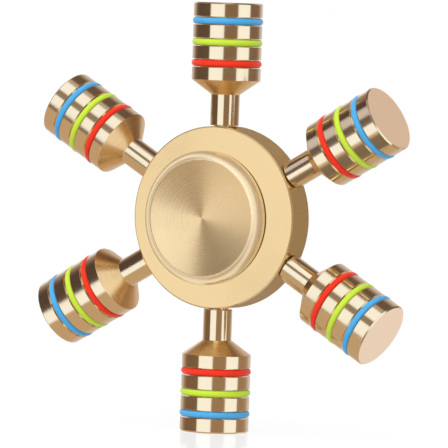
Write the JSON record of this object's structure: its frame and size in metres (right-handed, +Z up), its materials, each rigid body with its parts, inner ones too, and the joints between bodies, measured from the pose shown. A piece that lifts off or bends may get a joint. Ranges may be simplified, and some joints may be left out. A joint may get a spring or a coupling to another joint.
{
  "type": "fidget spinner",
  "caption": "Hand-held brass fidget spinner: turned arms with coloured rubber rings stand out from a ring that spins on a ball bearing between two dished finger caps.",
  "frame": {"origin": "middle of the hub, on the spin axis, halfway between the two finger caps", "axes": "+Y along the spin axis, from the front cap to the rear cap; +Z up along arm 1; +X to the right seen from the front"},
  "size_m": [0.0588, 0.0122, 0.0624],
  "materials": {
    "satin_brass": "fine turned, satin",
    "polished_brass": "turned and polished",
    "bearing_steel": "ground and polished",
    "shield_steel": "pressed sheet",
    "cage_steel": "pressed, dull",
    "blue_rubber": "semi-gloss moulded",
    "green_rubber": "semi-gloss moulded",
    "red_rubber": "semi-gloss moulded"
  },
  "bodies": {
    "stator": {"front_cap": "satin_brass", "rear_cap": "satin_brass", "bearing_inner_race": "bearing_steel"},
    "rotor": {"hub_ring": "satin_brass", "bearing_outer_race": "bearing_steel", "bearing_shield_front": "shield_steel", "bearing_shield_rear": "shield_steel", "arm_1": "polished_brass", "arm_2": "polished_brass", "arm_3": "polished_brass", "arm_4": "polished_brass", "arm_5": "polished_brass", "arm_6": "polished_brass", "o_ring_red_1": "red_rubber", "o_ring_green_1": "green_rubber", "o_ring_blue_1": "blue_rubber", "o_ring_red_2": "red_rubber", "o_ring_green_2": "green_rubber", "o_ring_blue_2": "blue_rubber", "o_ring_red_3": "red_rubber", "o_ring_green_3": "green_rubber", "o_ring_blue_3": "blue_rubber", "o_ring_red_4": "red_rubber", "o_ring_green_4": "green_rubber", "o_ring_blue_4": "blue_rubber", "o_ring_red_5": "red_rubber", "o_ring_green_5": "green_rubber", "o_ring_blue_5": "blue_rubber", "o_ring_red_6": "red_rubber", "o_ring_green_6": "green_rubber", "o_ring_blue_6": "blue_rubber"},
    "cage": {"bearing_cage": "cage_steel"},
    "ball_1": {"bearing_ball_1": "bearing_steel"},
    "ball_2": {"bearing_ball_2": "bearing_steel"},
    "ball_3": {"bearing_ball_3": "bearing_steel"},
    "ball_4": {"bearing_ball_4": "bearing_steel"},
    "ball_5": {"bearing_ball_5": "bearing_steel"},
    "ball_6": {"bearing_ball_6": "bearing_steel"},
    "ball_7": {"bearing_ball_7": "bearing_steel"},
    "ball_8": {"bearing_ball_8": "bearing_steel"},
    "ball_9": {"bearing_ball_9": "bearing_steel"},
    "ball_10": {"bearing_ball_10": "bearing_steel"}
  },
  "joints": [
    {"name": "rotor_spin", "type": "hinge", "parent": "stator", "child": "rotor", "pos_m": [0, 0, 0], "axis": [0, 1, 0], "continuous": true},
    {"name": "cage_spin", "type": "hinge", "parent": "stator", "child": "cage", "pos_m": [0, 0, 0], "axis": [0, 1, 0], "continuous": true},
    {"name": "ball_1_roll", "type": "hinge", "parent": "cage", "child": "ball_1", "pos_m": [0, 0, 0.00476], "axis": [0, 1, 0], "continuous": true},
    {"name": "ball_2_roll", "type": "hinge", "parent": "cage", "child": "ball_2", "pos_m": [0.0028, 0, 0.00385], "axis": [0, 1, 0], "continuous": true},
    {"name": "ball_3_roll", "type": "hinge", "parent": "cage", "child": "ball_3", "pos_m": [0.00453, 0, 0.00147], "axis": [0, 1, 0], "continuous": true},
    {"name": "ball_4_roll", "type": "hinge", "parent": "cage", "child": "ball_4", "pos_m": [0.00453, 0, -0.00147], "axis": [0, 1, 0], "continuous": true},
    {"name": "ball_5_roll", "type": "hinge", "parent": "cage", "child": "ball_5", "pos_m": [0.0028, 0, -0.00385], "axis": [0, 1, 0], "continuous": true},
    {"name": "ball_6_roll", "type": "hinge", "parent": "cage", "child": "ball_6", "pos_m": [0, 0, -0.00476], "axis": [0, 1, 0], "continuous": true},
    {"name": "ball_7_roll", "type": "hinge", "parent": "cage", "child": "ball_7", "pos_m": [-0.0028, 0, -0.00385], "axis": [0, 1, 0], "continuous": true},
    {"name": "ball_8_roll", "type": "hinge", "parent": "cage", "child": "ball_8", "pos_m": [-0.00453, 0, -0.00147], "axis": [0, 1, 0], "continuous": true},
    {"name": "ball_9_roll", "type": "hinge", "parent": "cage", "child": "ball_9", "pos_m": [-0.00453, 0, 0.00147], "axis": [0, 1, 0], "continuous": true},
    {"name": "ball_10_roll", "type": "hinge", "parent": "cage", "child": "ball_10", "pos_m": [-0.0028, 0, 0.00385], "axis": [0, 1, 0], "continuous": true}
  ],
  "couplings": [
    {"joint": "cage_spin", "follows": "rotor_spin", "ratio": 0.58336},
    {"joint": "ball_1_roll", "follows": "rotor_spin", "ratio": 2.9157},
    {"joint": "ball_2_roll", "follows": "rotor_spin", "ratio": 2.9157},
    {"joint": "ball_3_roll", "follows": "rotor_spin", "ratio": 2.9157},
    {"joint": "ball_4_roll", "follows": "rotor_spin", "ratio": 2.9157},
    {"joint": "ball_5_roll", "follows": "rotor_spin", "ratio": 2.9157},
    {"joint": "ball_6_roll", "follows": "rotor_spin", "ratio": 2.9157},
    {"joint": "ball_7_roll", "follows": "rotor_spin", "ratio": 2.9157},
    {"joint": "ball_8_roll", "follows": "rotor_spin", "ratio": 2.9157},
    {"joint": "ball_9_roll", "follows": "rotor_spin", "ratio": 2.9157},
    {"joint": "ball_10_roll", "follows": "rotor_spin", "ratio": 2.9157}
  ]
}
